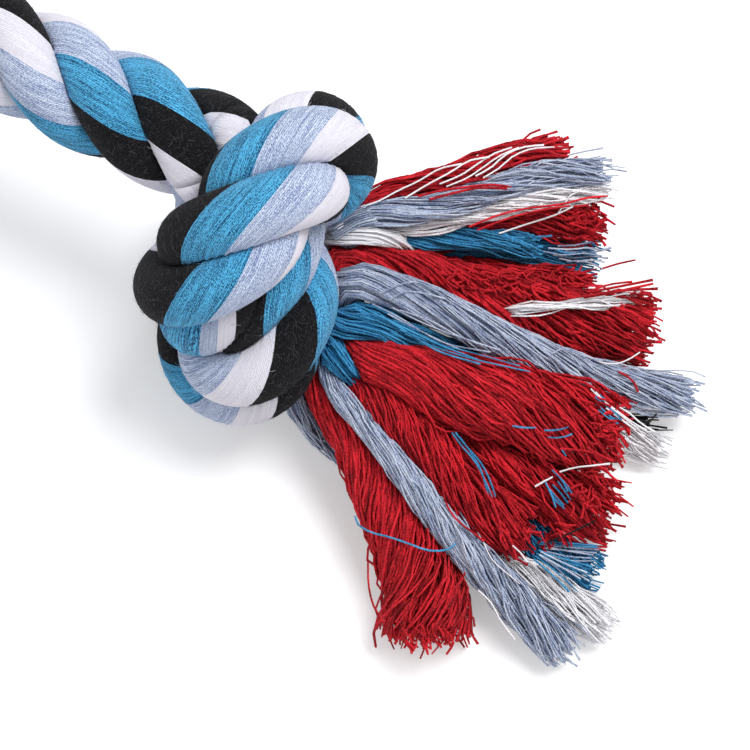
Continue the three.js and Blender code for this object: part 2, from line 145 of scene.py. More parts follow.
# Each bundle: how far it spreads from its middle line at its cut end, and its route past its start. The
# routes are the CAD source's, moved to match the photograph: b_white most, which sinks under the red
# yarns, then b_red_1 beside the knot, and the others by less than 2 mm, with ends up to 3 mm off.
BUNDLES = {
    "a_red_1": (2.7, [
        (77.5, 9.5, 27.5), (81.5, 14.5, 27), (86.5, 20.5, 25), (92, 28.5, 22), (97.5, 35.5, 18),
    ]),
    "a_light_blue": (2.7, [
        (78, 7.5, 28), (83.3, 11.9, 27.6), (88.1, 17.5, 25), (95.9, 27.3, 21.5), (105.4, 35.6, 17),
    ]),
    "a_white": (2.4, [(80.5, 8.5, 23), (86, 13.5, 23), (92, 20, 21), (98.8, 26.8, 19), (106.0, 33.7, 15)]),
    "a_red_2": (4.4, [
        (80.5, 9.5, 17), (87, 14.5, 17), (94, 21.5, 15), (101, 27.2, 12.2), (106.6, 29.6, 10.6),
    ]),
    "a_turquoise": (3.0, [
        (81.5, 10, 12), (87.5, 14, 11), (94.8, 18.8, 9), (101.5, 22.9, 7.5), (108, 26, 5.5),
    ]),
    "a_black": (3, [(81, 11, 6), (87.5, 13.5, 5), (96.5, 17, 4), (106.5, 20.5, 3)]),
    "b_red_1": (6.6, [
        (76.6, 0.7, 24), (80.2, 2.7, 23.5), (84.5, 4, 22), (92, 5.5, 19), (99, 7, 17), (107.5, 10, 13),
        (115, 14, 10), (122, 18, 8),
    ]),
    "b_white": (1.7, [
        (73.1, 1.9, 24), (76.0, 2.6, 27.5), (79.8, 4.8, 28), (83.2, 7.4, 24), (84.7, 9.0, 17),
        (86.5, 10.5, 11), (94.8, 11.9, 8), (103.6, 13.8, 8), (112.1, 17.9, 7), (118.7, 22.2, 6),
    ]),
    "b_light_blue": (3.5, [
        (81, -3.5, 28), (89, -1, 27), (98, 0.5, 24), (105.5, 1.5, 21), (114, 3.5, 16), (123.5, 7, 11),
        (133, 12, 6),
    ]),
    "b_turquoise": (3.8, [
        (84, -7.5, 26), (89, -6, 24), (93.5, -4.5, 18), (99, -2, 11), (106.5, 0, 7), (115, 2.5, 5),
        (123.5, 4.5, 4),
    ]),
    "b_red_2": (8, [
        (88, -13, 24.3), (94, -11.5, 24.6), (102, -9.5, 21.6), (110, -6.5, 19), (118.5, -4, 15),
        (126, -1.5, 11),
    ]),
    "b_black": (1.6, [(85, -2.5, 14), (94.5, -2.5, 6), (107, -2, 4), (119, 1.5, 3), (129, 5.3, 3)]),
    "c_red_1": (6.7, [
        (90, -15.5, 22), (96.5, -18, 19), (105, -21, 16), (113.5, -23, 12), (120.8, -22.4, 9.4),
    ]),
    "c_light_blue": (3.6, [
        (86, -18.5, 23), (92, -21, 22), (103, -25, 19), (113, -28.5, 14), (123, -31, 9), (135.5, -34.5, 5),
    ]),
    "c_white": (3.6, [
        (86.5, -13.5, 13), (98, -18, 8), (109, -22.5, 6), (119.5, -26, 7), (129, -27, 5), (139, -27.5, 4),
    ]),
    "c_turquoise": (3.8, [
        (87, -6.5, 9), (94.5, -10, 8), (103, -12, 5), (115.5, -16.5, 4), (127.5, -20.5, 4), (133, -20.5, 4),
    ]),
    "c_red_2": (7.6, [
        (84.5, -18.5, 18), (92.4, -22.5, 16), (101.2, -28.3, 12), (110.1, -34.6, 9), (115.4, -42.3, 6),
    ]),
    "c_black": (3.2, [(83, -16.5, 8), (90, -19.5, 4), (100, -25, 3), (109.5, -30.5, 3)]),
}
# Yarns that have slipped out beside their bundle: how far they spread, and their route
SLIPPED_YARNS = {
    "a_turquoise_above": (2.2, [
        (79.2, 6.6, 22), (83.4, 9.7, 21), (89.1, 14.0, 18), (95.2, 17.7, 16), (100.4, 20.4, 14),
    ]),
    "b_red_1_beside_a": (3.6, [
        (82.5, 7.1, 14), (87.6, 10.2, 11), (95.1, 12.9, 9.5), (103.9, 16.6, 8.5), (110.7, 19.7, 8),
    ]),
    "b_turquoise_above": (2.2, [
        (83.2, -10.1, 27), (87.8, -8.2, 27.5), (92.6, -6.3, 25), (97.1, -4.1, 21), (101.0, -1.2, 15),
    ]),
    "b_white_above": (0.9, [
        (81.5, 4.9, 12), (90.8, 7.6, 10), (100.3, 8.0, 14), (104.3, 7.2, 20.5), (109.6, 10.9, 20),
        (115.1, 15.7, 17), (119.2, 20.6, 12),
    ]),
    "b_white_below": (2.8, [(112.3, 1.0, 8), (120.8, 1.9, 5), (127.3, 2.4, 4), (132.8, 2.9, 3.5)]),
    "c_red_1_beside_b": (6, [
        (93.1, -12.5, 14), (101.8, -12.7, 12), (111.4, -13.8, 11), (121.2, -13.7, 9), (131.0, -11.9, 7),
    ]),
    "c_turquoise_above": (2.6, [(83.1, -13.9, 25), (86.9, -14.9, 24), (91.1, -14.3, 19), (94.9, -12.4, 12)]),
    "c_light_blue_below": (2, [(78.7, -18.8, 9), (81.2, -19.6, 6), (85.1, -20.9, 4), (89.6, -21.9, 3)]),
}

# Loose yarns: each bundle spreads, twists a little and ends where the scissors caught it
YARNS_PER_SPREAD = 27  # in a bundle, for each mm of its spread to the power below
SPREAD_POWER = 1.25
LOOSE_YARN_RADIUS = 0.16
RED_YARN = 1.4  # times as thick as the others
RED_CRINKLE = 1.5  # times as high as the crinkles of the others
RED_COUNT = 0.85  # times as many in a bundle of the same spread
YARN_SIDES = 3
YARN_STEP = 2.3  # along a loose yarn, from one ring of its points to the next
YARN_WAVES = [(28, 0.42), (13, 0.24), (6, 0.1)]  # how long and how high its crinkles are
YARN_ROOT = 4.5  # of each yarn hidden in the end of its strand
LONGEST_TAIL = 4
BUNDLE_TWIST = 62  # along the bundle, for one turn
LOCKS_PER_SPREAD = 2.2  # that a bundle's yarns gather into, for each mm of its spread
LOCK_GATHER = 0.85
LOCK_DEPTH = 0.9  # of the gaps between a bundle's locks
MOST_DEEP = 0.3  # of a bundle's reach, for those gaps
OPENS_FROM, OPENS_OVER = 0.55, 0.45  # of its length, over which a bundle's end fills with yarns
WAYS_ROUND = 24  # in which a bundle's reach is found, and its packed yarns have points
PACKED_SHARE = 0.9  # of a bundle's reach between its locks, filled by packed yarns
PACKED_END = 0.86  # of a bundle's length, past which its yarns are all loose
PACKED_TAPER = 0.25  # of a bundle's length, over which its packed yarns draw in
STRAY_MIDDLE = Vector((66.5, -8, 29.5))
STRAY_REACH = 1.3  # a stray yarn lies on what is under it this far to its side
STRAY_LIFT = 0.35  # of its middle off what it lies on
STRAY_DROOP = 0.5  # at most, from each of its points to the next, where it runs on past an edge
# Single yarns that strayed over the bundles, as the photograph shows them, by their colour. A yarn's
# points follow on each other: tenths of a mm to the right of STRAY_MIDDLE as the camera sees it, and above.
STRAY_YARNS = {
    "black": [
        [603, -249, 619, -254, 631, -239], [611, -257, 625, -249, 638, -250],
        [619, -266, 641, -266, 661, -266], [458, -443, 493, -428, 517, -416, 534, -408],
    ],
    "white": [
        [164, 87, 191, 96, 222, 113, 254, 128, 288, 148, 323, 156],
        [233, 101, 269, 123, 304, 142, 335, 161, 367, 167],
        [288, 124, 323, 139, 348, 156, 373, 172, 403, 183],
        [299, 120, 332, 134, 357, 151, 383, 169, 414, 183],
        [345, 137, 370, 151, 391, 170, 420, 183, 454, 187],
        [357, 134, 383, 150, 402, 167, 431, 180, 471, 184], [477, 79, 487, 93, 494, 106, 512, 115],
        [383, 47, 430, 63, 471, 76, 501, 90], [477, -331, 501, -324, 528, -321, 556, -318],
        [438, -354, 454, -345, 466, -339], [526, -200, 543, -217, 565, -233, 591, -252, 613, -265],
        [534, -205, 551, -224, 575, -243, 603, -265], [540, -157, 565, -161, 587, -154, 606, -142],
        [357, -443, 370, -469, 391, -488, 414, -507], [402, -446, 414, -457, 425, -472],
        [348, -517, 367, -535, 383, -564, 406, -595], [559, -224, 584, -236, 606, -255, 628, -268],
        [550, -230, 575, -249, 597, -265],
    ],
    "light_blue": [
        [194, -50, 217, -39, 249, -31, 276, -41, 301, -49], [209, -60, 233, -47, 265, -50, 296, -58],
        [465, -145, 480, -137, 501, -142, 524, -150, 546, -156], [454, 19, 486, 13, 519, 16, 548, 12],
        [471, 14, 503, 9, 528, 12, 559, 9], [462, 24, 498, 22, 526, 25, 552, 20],
        [480, 8, 509, 3, 531, 6, 553, 2], [478, 28, 506, 29, 530, 34, 549, 35],
        [492, 3, 516, 4, 538, -2, 550, -9], [489, 19, 512, 18, 539, 19, 564, 26],
        [213, -72, 257, -94, 304, -113, 359, -131], [206, -82, 254, -107, 301, -129, 367, -142],
        [225, -76, 276, -94, 323, -120, 383, -139], [181, -66, 225, -88, 272, -117, 323, -139],
        [111, 60, 128, 70, 148, 82, 170, 90], [112, 57, 129, 67, 149, 79, 172, 87],
        [113, 54, 130, 64, 150, 76, 175, 84], [114, 51, 131, 61, 151, 73, 178, 81],
        [116, 48, 133, 58, 153, 70, 180, 78], [118, 45, 135, 55, 155, 67, 182, 75],
        [120, 42, 137, 52, 157, 64, 185, 72], [122, 39, 139, 49, 159, 61, 188, 68],
        [124, 36, 141, 46, 161, 57, 190, 64], [458, -450, 493, -457, 531, -463],
        [461, -463, 496, -472, 534, -472], [471, -479, 502, -491, 524, -504],
        [455, -457, 490, -465, 528, -468], [446, -456, 484, -475, 520, -490],
        [449, -466, 476, -486, 498, -512], [452, -447, 494, -451, 540, -455],
        [450, -452, 492, -456, 536, -460], [444, -461, 478, -480, 510, -500],
    ],
    "turquoise": [
        [307, -269, 323, -291, 342, -313, 357, -340, 370, -370],
        [312, -268, 329, -290, 350, -313, 365, -340, 375, -369],
        [320, -276, 335, -299, 351, -324, 364, -367],
        [154, -400, 159, -413, 178, -425, 209, -433, 241, -444, 272, -454, 301, -452, 313, -443],
        [460, -357, 471, -370, 483, -384], [466, -351, 479, -365, 490, -380],
        [474, -346, 485, -361, 494, -375], [463, -365, 474, -380, 485, -389],
        [532, -213, 546, -224, 562, -236, 575, -249], [540, -209, 554, -222, 570, -236],
        [534, -224, 548, -236, 562, -249], [474, 22, 500, 15, 520, 20, 534, 15],
        [452, -265, 471, -265, 490, -260], [458, -276, 477, -277, 496, -271],
        [402, -258, 420, -261, 439, -261], [480, -296, 487, -306],
        [194, -85, 244, -110, 288, -131, 348, -154], [181, -79, 231, -107, 282, -139, 351, -161],
        [225, -107, 272, -126, 335, -142, 414, -164], [233, -113, 282, -135, 345, -154, 430, -173],
        [534, -211, 546, -220, 559, -230], [537, -233, 553, -246, 569, -255],
        [543, -236, 559, -246, 575, -249], [465, -328, 480, -343, 490, -362],
        [471, -334, 487, -350, 496, -365], [454, -346, 465, -369, 471, -387],
        [448, -443, 490, -444, 536, -448], [446, -446, 492, -448, 539, -451],
        [443, -454, 487, -469, 529, -481], [440, -459, 480, -472, 524, -485],
        [438, -463, 472, -489, 504, -519], [436, -468, 466, -494, 492, -520],
    ],
    "red": [
        [254, 104, 288, 113, 323, 118, 367, 123, 402, 120], [272, 99, 312, 110, 351, 118, 395, 117],
        [335, 57, 383, 76, 430, 87, 485, 94, 524, 104, 557, 107], [348, 52, 398, 71, 454, 85, 496, 91],
        [524, -47, 556, -41, 587, -35, 627, -27], [517, -55, 553, -49, 591, -41, 628, -33],
        [477, -58, 524, -52, 580, -44, 635, -41],
        [272, -255, 283, -288, 290, -328, 296, -375, 312, -403, 335, -422, 357, -439],
        [175, -469, 176, -509, 184, -542, 200, -567], [477, -294, 524, -299, 564, -315],
        [546, -9, 575, 0, 603, 6], [521, -47, 556, -35, 594, -30], [603, -88, 622, -98, 635, -117],
        [534, -107, 569, -120, 603, -142], [572, -173, 594, -186, 603, -205],
    ],
}
# Where cut ends stand up off the red bundles, seen the same way: the middle of each tuft, how far it
# reaches right and up, how many ends, and the way they point in degrees
CUT_ENDS = [
    ((40.2, -2.6), (11.0, 2.0), 90, -8),
    ((50.9, 6.0), (3.0, 3.6), 30, 0),
    ((54.0, -26.5), (2.4, 5.5), 36, -20),
    ((51.7, -35.9), (3.2, 3.2), 30, -40),
    ((45.4, -42.2), (4.0, 2.2), 26, -45),
    ((27.2, -58.5), (5.5, 1.8), 30, -75),
]
CUT_END_LENGTH = 2.2
CUT_END_RISE = 1.0  # of the tip above the bundle
CUT_END_FAN = 28  # degrees to each side
# What tells one piece's random draws and patterns from the next one's
FIBRE_SEED, BUNDLE_SEED, SLIPPED_SEED, CUT_END_SEED = 11, 40, 80, 7
PATTERN_SHIFT = 700  # mm along a strand, and yarns from one bundle to the next
PACKED_SHIFT = 90
STRAY_NUMBERS = 20000  # where the numbers of the stray yarns begin


def linear(colour):
    """An sRGB hex colour as linear red, green, blue and alpha."""
    out = []
    for i in (1, 3, 5):
        c = int(colour[i:i + 2], 16) / 255
        out.append(c / 12.92 if c <= 0.04045 else ((c + 0.055) / 1.055) ** 2.4)
    return (*out, 1.0)


def painted_shade_halfway(colour, shade):
    """The sRGB hex colour halfway from a yarn's colour to its shade: painted shade for the yarns packed
    inside a bundle, so that the gaps over them look deep.
    """
    pairs = ((int(colour[i:i + 2], 16), int(shade[i:i + 2], 16)) for i in (1, 3, 5))
    return "#" + "".join(f"{round((a + b) / 2):02x}" for a, b in pairs)


def linked(obj):
    bpy.context.scene.collection.objects.link(obj)
    return obj


# Camera
camera = linked(bpy.data.objects.new("photo_camera", bpy.data.cameras.new("photo_camera")))
camera.data.lens = LENS
camera.data.sensor_width = SENSOR
camera.data.clip_end = 10
camera.location = (AIM + TOWARDS_CAMERA * (PHOTO_WIDTH * LENS / SENSOR)) * MM
camera.rotation_mode = "QUATERNION"
camera.rotation_quaternion = TOWARDS_CAMERA.to_track_quat("Z", "Y")
bpy.context.scene.camera = camera


# Lines in space
def between(t, t0, t1, a, b):
    """The point at t on the line that is at a for t0 and at b for t1."""
    return (t1 - t) / (t1 - t0) * a + (t - t0) / (t1 - t0) * b


def through(points, step, smoothing):
    """A smooth line through the points, as points one step apart."""
    p = np.array(points, float)
    first, last = 2 * p[0] - p[1], 2 * p[-1] - p[-2]
    p = np.vstack([first, p, last])
    knots = np.concatenate([[0], np.cumsum(np.linalg.norm(np.diff(p, axis=0), axis=1) ** 0.5)])
    fine = []
    for i in range(1, len(p) - 2):
        k = knots[i - 1:i + 3]
        for t in np.linspace(k[1], k[2], 40, endpoint=False):
            a = [between(t, k[n], k[n + 1], p[i - 1 + n], p[i + n]) for n in range(3)]
            b = [between(t, k[n], k[n + 2], a[n], a[n + 1]) for n in range(2)]
            fine.append(between(t, k[1], k[2], *b))
    fine.append(p[-2])
    line = respaced(np.array(fine), step)
    for _ in range(smoothing):
        line[1:-1] = line[1:-1] / 2 + (line[:-2] + line[2:]) / 4
    return line


def distances(line):
    return np.concatenate([[0], np.cumsum(np.linalg.norm(np.diff(line, axis=0), axis=1))])


def respaced(line, step):
    along = distances(line)
    count = max(int(round(along[-1] / step)), 1)
    want = np.linspace(0, along[-1], count + 1)
    return np.stack([np.interp(want, along, line[:, k]) for k in range(3)], axis=1)


def directions(line):
    d = np.gradient(line, axis=0)
    return d / np.linalg.norm(d, axis=1)[:, None]


def carried(forward, start, direction):
    """Carries a direction along a line without twist, both ways from one of its points."""
    out = np.zeros_like(forward)

    def square(v, i):
        v = v - forward[i] * (v @ forward[i])
        return v / np.linalg.norm(v)

    out[start] = square(np.array(direction, float), start)
    for i in range(start + 1, len(forward)):
        out[i] = square(out[i - 1], i)
    for i in range(start - 1, -1, -1):
        out[i] = square(out[i + 1], i)
    return out


def smooth_step(x):
    x = np.clip(x, 0, 1)
    return x * x * (3 - 2 * x)


# The rope's middle line over the whole toy: the far half is the near one turned half round
near_half = [np.array(p, float) for p in ROPE_ROUTE]
far_half = [p * (-1, -1, 1) for p in near_half[:0:-1]]
rope = respaced(through([*far_half, *near_half], 1.0, ROUTE_SMOOTHING), RING_STEP)
rope_forward = directions(rope)
middle = int(np.abs(rope[:, 0]).argmin())
rope_up = carried(rope_forward, middle, (0, 0, 1))
rope_side = np.cross(rope_forward, rope_up)
from_middle = distances(rope) - distances(rope)[middle]
in_knot = smooth_step((np.abs(from_middle) - KNOT_MOUTH) / SWELL_LENGTH + 0.5)
strand_radius = STRAND_RADIUS * (1 + (SWELL_RADIUS - 1) * in_knot)


def ramp(ends):
    return smooth_step((np.abs(from_middle) - ends[0]) / (ends[1] - ends[0]))


taken_up = KNOT_TURN * np.sign(from_middle) * ramp(TURN_RISE) * (1 - ramp(TURN_FALL))
strands = []
for k in range(STRAND_COUNT):
    phase = PHASE_AT_MIDDLE + 2 * math.pi * (from_middle / LAY_LENGTH + k / STRAND_COUNT) + taken_up
    offset = STRAND_OFFSET * (1 + (KNOT_SWELL - 1) * in_knot)
    strands.append(
        rope + (offset * np.cos(phase))[:, None] * rope_up + (offset * np.sin(phase))[:, None] * rope_side
    )


def room(planes, facing):
    """How far each way reaches before it meets a plane, from how far off and how square each plane is."""
    return np.where(facing > GRAZING, planes[None] / np.maximum(facing, GRAZING), FREE).min(axis=1)


def pressed(centre, ways, radius, others, their_radius, gap):
    """How far a soft piece reaches from its middle line each way, where others press on it."""
    to = others - centre
    apart = np.linalg.norm(to, axis=1)
    close = apart < radius + their_radius + gap
    if not close.any():
        return np.full(len(ways), radius)
    to, apart = to[close], apart[close]
    planes = (apart - gap) * radius / (radius + their_radius[close])
    return np.minimum(radius, room(planes, ways @ (to / apart[:, None]).T))


def strand_skin(index):
    """Points of one strand's skin, a ring for each point of the rope: its yarns turn as they run."""
    line = strands[index]
    forward = directions(line)
    away = line - rope
    away -= forward * (away * forward).sum(1)[:, None]
    away /= np.linalg.norm(away, axis=1)[:, None]
    across = np.cross(forward, away)
    along = distances(line)
    along = along - along[middle]
    wide = np.array([widths for _, widths in SKIN_WIDTHS[index]])
    wide = np.stack([np.interp(along, [at for at, _ in SKIN_WIDTHS[index]], w) for w in wide.T], axis=1)
    edge = np.concatenate([np.zeros((len(line), 1)), np.cumsum(wide, axis=1)], axis=1)
    even = np.concatenate([[0], np.cumsum(EVEN_WIDTHS)])
    share = np.array([np.interp(np.arange(YARNS_ROUND) / YARNS_ROUND, even, e) for e in edge])
    known = np.array(YARN_COUNT[index])
    turns = np.interp(along, known[:, 0], known[:, 1])
    turns += (np.minimum(along, 0) + np.maximum(along - known[-1, 0], 0)) / YARN_TURN
    everyone = np.concatenate(strands)
    radii = np.tile(strand_radius, STRAND_COUNT)
    owner = np.repeat(np.arange(STRAND_COUNT), len(line))
    place = np.tile(from_middle, STRAND_COUNT)
    to_end = from_middle[-1] - np.abs(from_middle)
    drawn_in = 1 - DRAWN_IN * np.clip(1 - to_end / STRAND_TAPER, 0, 1) ** 2
    skin = np.zeros((len(line), YARNS_ROUND, 3))
    for i, centre in enumerate(line):
        turn = 2 * math.pi * (share[i] - turns[i])
        ways = np.cos(turn)[:, None] * away[i] + np.sin(turn)[:, None] * across[i]
        around = np.linalg.norm(everyone - centre, axis=1) < PRESS_REACH
        near = around & ((owner != index) | (np.abs(place - from_middle[i]) > OWN_REACH))
        reach = pressed(centre, ways, strand_radius[i], everyone[near], radii[near], SKIN_GAP) * drawn_in[i]
        skin[i] = centre + ways * reach[:, None]
    return skin, along


def grid_mesh(name, grid, around, along, slots_round, materials):
    """A tube from rings of points, with a UV of its yarns across and its length in mm along."""
    rings, count = grid.shape[:2]
    verts = grid.reshape(-1, 3) * MM
    i, j = np.meshgrid(np.arange(rings - 1), np.arange(count), indexing="ij")
    j2 = (j + 1) % count
    quads = np.stack([i * count + j, i * count + j2, (i + 1) * count + j2, (i + 1) * count + j], axis=-1)
    quads = quads.reshape(-1, 4)
    caps = [list(range(count))[::-1], list(range((rings - 1) * count, rings * count))]
    mesh = bpy.data.meshes.new(name)
    mesh.from_pydata(verts.tolist(), [], [*quads.tolist(), *caps])
    uv = mesh.uv_layers.new(name="yarns")
    u = np.stack([j, j + 1, j + 1, j], axis=-1).reshape(-1) / count * around
    v = along[np.stack([i, i, i + 1, i + 1], axis=-1).reshape(-1)]
    flat = np.zeros((len(mesh.loops), 2), np.float32)
    flat[: len(u), 0], flat[: len(u), 1] = u, v
    uv.data.foreach_set("uv", flat.reshape(-1))
    slots = np.concatenate([slots_round[j.reshape(-1)], slots_round[:1], slots_round[:1]])
    for material in materials:
        mesh.materials.append(material)
    mesh.polygons.foreach_set("material_index", slots.astype(np.int32))
    mesh.polygons.foreach_set("use_smooth", np.ones(len(slots), bool))
    mesh.update()
    return mesh


# Materials
def node(tree, kind, settings=None, inputs=None):
    """Adds a node with its settings and its inputs, each a plain value or what is linked to it."""
    new = tree.nodes.new(kind)
    for key, value in (settings or {}).items():
        setattr(new, key, value)
    for key, value in (inputs or {}).items():
        if isinstance(value, bpy.types.Node):
            value = value.outputs[0]
        if isinstance(value, bpy.types.NodeSocket):
            tree.links.new(value, new.inputs[key])
        else:
            new.inputs[key].default_value = value
    return new


def started(name):
    """A new material, with an empty tree to fill."""
    material = bpy.data.materials.new(name)
    material.use_nodes = True
    material.node_tree.nodes.clear()
    return material, material.node_tree


TIMES, PLUS, LESS = {"operation": "MULTIPLY"}, {"operation": "ADD"}, {"operation": "SUBTRACT"}
TIMES_PLUS = {"operation": "MULTIPLY_ADD"}
FLAT, COLOURS = {"noise_dimensions": "2D"}, {"data_type": "RGBA"}


def cotton(name, colour, shade, lint=0.0, yarn_spread=0.2, fibre_spread=0.16, sheen=0.1, laid=True):
    """Soft two-ply cotton yarn, dyed in the bale: matt, uneven in shade from yarn to yarn and along
    each, with the slant of its plies as painted shade, fibres lying along it, specks and pale lint caught on
    it. Laid yarns lie side by side as a skin, with painted shade in the grooves between them, and wander a
    little; loose ones are round in themselves."""
    material, tree = started(name)
    uv = node(tree, "ShaderNodeUVMap", {"uv_map": "yarns"})
    across, along, _ = node(tree, "ShaderNodeSeparateXYZ", {}, {0: uv}).outputs
    if laid:
        broad = node(tree, "ShaderNodeVectorMath", TIMES, {0: uv, 1: WANDER_SCALE})
        drift = node(tree, "ShaderNodeTexNoise", FLAT, {"Vector": broad, "Scale": 1.0, "Detail": 3.0})
        across = node(tree, "ShaderNodeMath", TIMES_PLUS, {0: drift, 1: LINE_WANDER, 2: across})
    # which line a spot is on, and how high it stands between the line's edges; on laid yarns its edges are
    # darker, painted shade in the grooves between lines, and the same height gives the bump
    line = node(tree, "ShaderNodeMath", {"operation": "FLOOR"}, {0: across})
    spot = node(tree, "ShaderNodeMath", {"operation": "FRACT"}, {0: across})
    within = node(tree, "ShaderNodeMath", LESS, {0: spot, 1: 0.5})
    side = node(tree, "ShaderNodeMath", TIMES, {0: within, 1: within})
    crown = node(tree, "ShaderNodeMath", TIMES_PLUS, {0: side, 1: -4.0, 2: 1.0})
    own = node(tree, "ShaderNodeTexWhiteNoise", {"noise_dimensions": "1D"}, {"W": line})
    # the slant of the plies, a turn every PLY_TURN mm, begun anywhere on each line: painted shade between
    # the plies, and bump
    place = node(tree, "ShaderNodeMath", TIMES_PLUS, {0: own, 1: 9.0, 2: along})
    slant = node(tree, "ShaderNodeMath", TIMES, {0: within, 1: 0.8 * PLY_TURN})
    turned = node(tree, "ShaderNodeMath", PLUS, {0: place, 1: slant})
    angle = node(tree, "ShaderNodeMath", TIMES, {0: turned, 1: 2 * math.pi / PLY_TURN})
    ply = node(tree, "ShaderNodeMath", {"operation": "SINE"}, {0: angle})
    # fibres drawn out along the yarn, specks, each line's own run of shade, patches, and caught dust
    drawn = node(tree, "ShaderNodeVectorMath", TIMES, {0: uv, 1: FIBRE_SCALE})
    grain = node(tree, "ShaderNodeVectorMath", TIMES, {0: uv, 1: SPECK_SCALE})
    far_apart = node(tree, "ShaderNodeMath", TIMES, {0: line, 1: 7.3})
    slowly = node(tree, "ShaderNodeMath", TIMES, {0: along, 1: RUN_SCALE})
    own_run = node(tree, "ShaderNodeCombineXYZ", {}, {0: far_apart, 1: slowly})
    fibre, speck, run, patchy, dust = (
        node(tree, "ShaderNodeTexNoise", FLAT,
             {"Vector": spread, "Scale": scale, "Detail": detail, "Roughness": roughness})
        for spread, scale, detail, roughness in (
            (drawn, 1.0, 4.0, 0.72), (grain, 1.0, 3.0, 0.5), (own_run, 1.0, 2.0, 0.5),
            (drawn, PATCH_SCALE, 2.0, 0.5), (drawn, DUST_SCALE, 5.0, 0.75),
        )
    )
    # each adds to the yarn's shade by how far it is from its mean; the crown and the plies add painted shade
    level = node(tree, "ShaderNodeMath", TIMES_PLUS, {0: own, 1: yarn_spread, 2: 0.5 - yarn_spread / 2})
    for source, amount, mean in (
        (fibre, FIBRE_SHADE * fibre_spread, 0.5), (speck, SPECK_SHADE * fibre_spread, 0.5),
        (run, RUN_SHADE * yarn_spread, 0.5), (patchy, PATCH_SHADE, 0.5),
        (crown, CROWN_PAINTED_SHADE if laid else 0.0, 0.67), (ply, PLY_PAINTED_SHADE, 0.0),
    ):
        level = node(tree, "ShaderNodeMath", TIMES_PLUS, {0: source, 1: amount, 2: level})
        level = node(tree, "ShaderNodeMath", LESS, {0: level, 1: amount * mean})
    dyed = node(tree, "ShaderNodeMix", COLOURS, {0: level, 6: linear(shade), 7: linear(colour)})
    caught = node(tree, "ShaderNodeMapRange", {}, {0: dust, 1: 0.6, 2: 0.82, 3: 0.0, 4: lint})
    dusty = node(tree, "ShaderNodeMix", COLOURS, {0: caught, 6: dyed.outputs[2], 7: linear(DUST)})
    height = node(tree, "ShaderNodeMath", TIMES_PLUS, {0: fibre, 1: 1.1, 2: speck})
    height = node(tree, "ShaderNodeMath", TIMES_PLUS, {0: ply, 1: 0.2, 2: height})
    if laid:
        height = node(tree, "ShaderNodeMath", PLUS, {0: crown, 1: height})
    bump = node(
        tree, "ShaderNodeBump", {}, {"Height": height, "Strength": 0.6, "Distance": YARN_BUMP * MM}
    )
    shader = node(
        tree, "ShaderNodeBsdfPrincipled", {},
        {"Base Color": dusty.outputs[2], "Normal": bump, "Roughness": 0.92, "Specular IOR Level": 0.2,
         "Sheen Weight": sheen, "Sheen Roughness": 0.5},
    )
    node(tree, "ShaderNodeOutputMaterial", {}, {"Surface": shader})
    return material


def lint(name, colour, paler):
    """Ends of cotton fibre that stand off the yarns as fuzz, which softens the outline: matt, in two
    tones over the piece. Real ones are too thin to show, so these are about twice as thick."""
    material, tree = started(name)
    spot = node(tree, "ShaderNodeTexCoord").outputs["Object"]
    mottled = node(tree, "ShaderNodeTexNoise", {}, {"Vector": spot, "Scale": 900.0})
    tone = node(tree, "ShaderNodeMix", COLOURS, {0: mottled, 6: linear(colour), 7: linear(paler)})
    shader = node(
        tree, "ShaderNodeBsdfPrincipled", {},
        {"Base Color": tone.outputs[2], "Roughness": 0.95, "Specular IOR Level": 0.2},
    )
    node(tree, "ShaderNodeOutputMaterial", {}, {"Surface": shader})
    return material


# Each look is a colour and its shade, then lint, how uneven yarns and fibres are, and sheen.
# Cotton laid hard into a strand: crisp fine lines, with painted shade deep between the yarns. White is
# nearly even, and black swallows the light but for its grey dust.
LAID_YARN = {
    colour: cotton(f"laid_{colour}_cotton", *look) for colour, look in {
        "black": ("#121116", "#020203", 0.7, 0.24, 0.22, 0.02),
        "white": ("#fdfbff", "#c9c6da", 0.0, 0.1, 0.14),
        "light_blue": ("#e0ebfd", "#6577a6", 0.0, 0.26, 0.52),
        "turquoise": ("#5bc0f2", "#01355e", 0.2, 0.32, 0.62),
    }.items()
}
BALE = {
    "black": ("#27262a", "#060607", 0.15, 0.2, 0.16, 0.04),
    "white": ("#ffffff", "#efedf5", 0.0, 0.16, 0.12, 0.15),
    "light_blue": ("#e0e8f7", "#5e719c", 0.0, 0.3, 0.24, 0.1),
    "turquoise": ("#50b4ea", "#04406e", 0.05, 0.28, 0.2, 0.06),
    "red": ("#f02b39", "#6e060e", 0.0, 0.38, 0.26, 0.02),
}
# Cotton come loose in the tassels: softer, each yarn round and lit from its own side
LOOSE_YARN = {colour: cotton(f"loose_{colour}_cotton", *look, laid=False) for colour, look in BALE.items()}
# Cotton still packed inside a bundle, in painted shade: its colour lies halfway to the yarn's shade, so that
# the gaps between the loose yarns look deep and dark
PAINTED_SHADE_PACKED_YARN = {
    colour: cotton(f"packed_{colour}_cotton", painted_shade_halfway(*look[:2]), *look[1:]) for colour, look in BALE.items()
}
# Lint that stands off the strands: grey dust on black, which shows most, and each colour's own fibres
LINT = {
    "black": lint("grey_lint", "#2e2e32", "#76767e"),
    "white": lint("white_lint", "#e9e7f1", "#ffffff"),
    "light_blue": lint("pale_blue_lint", "#b4c4e6", "#e4ebf8"),
    "turquoise": lint("turquoise_lint", "#4ba6d6", "#a6dcf2"),
}


def tree_with(title, sockets):
    """A new tree that takes in a mesh and these named inputs and gives a mesh, and what it is given."""
    tree = bpy.data.node_groups.new(title, "GeometryNodeTree")
    for name, kind in {"Geometry": "Geometry", **sockets}.items():
        tree.interface.new_socket(name, in_out="INPUT", socket_type=f"NodeSocket{kind}")
    tree.interface.new_socket("Geometry", in_out="OUTPUT", socket_type="NodeSocketGeometry")
    return tree, node(tree, "NodeGroupInput").outputs


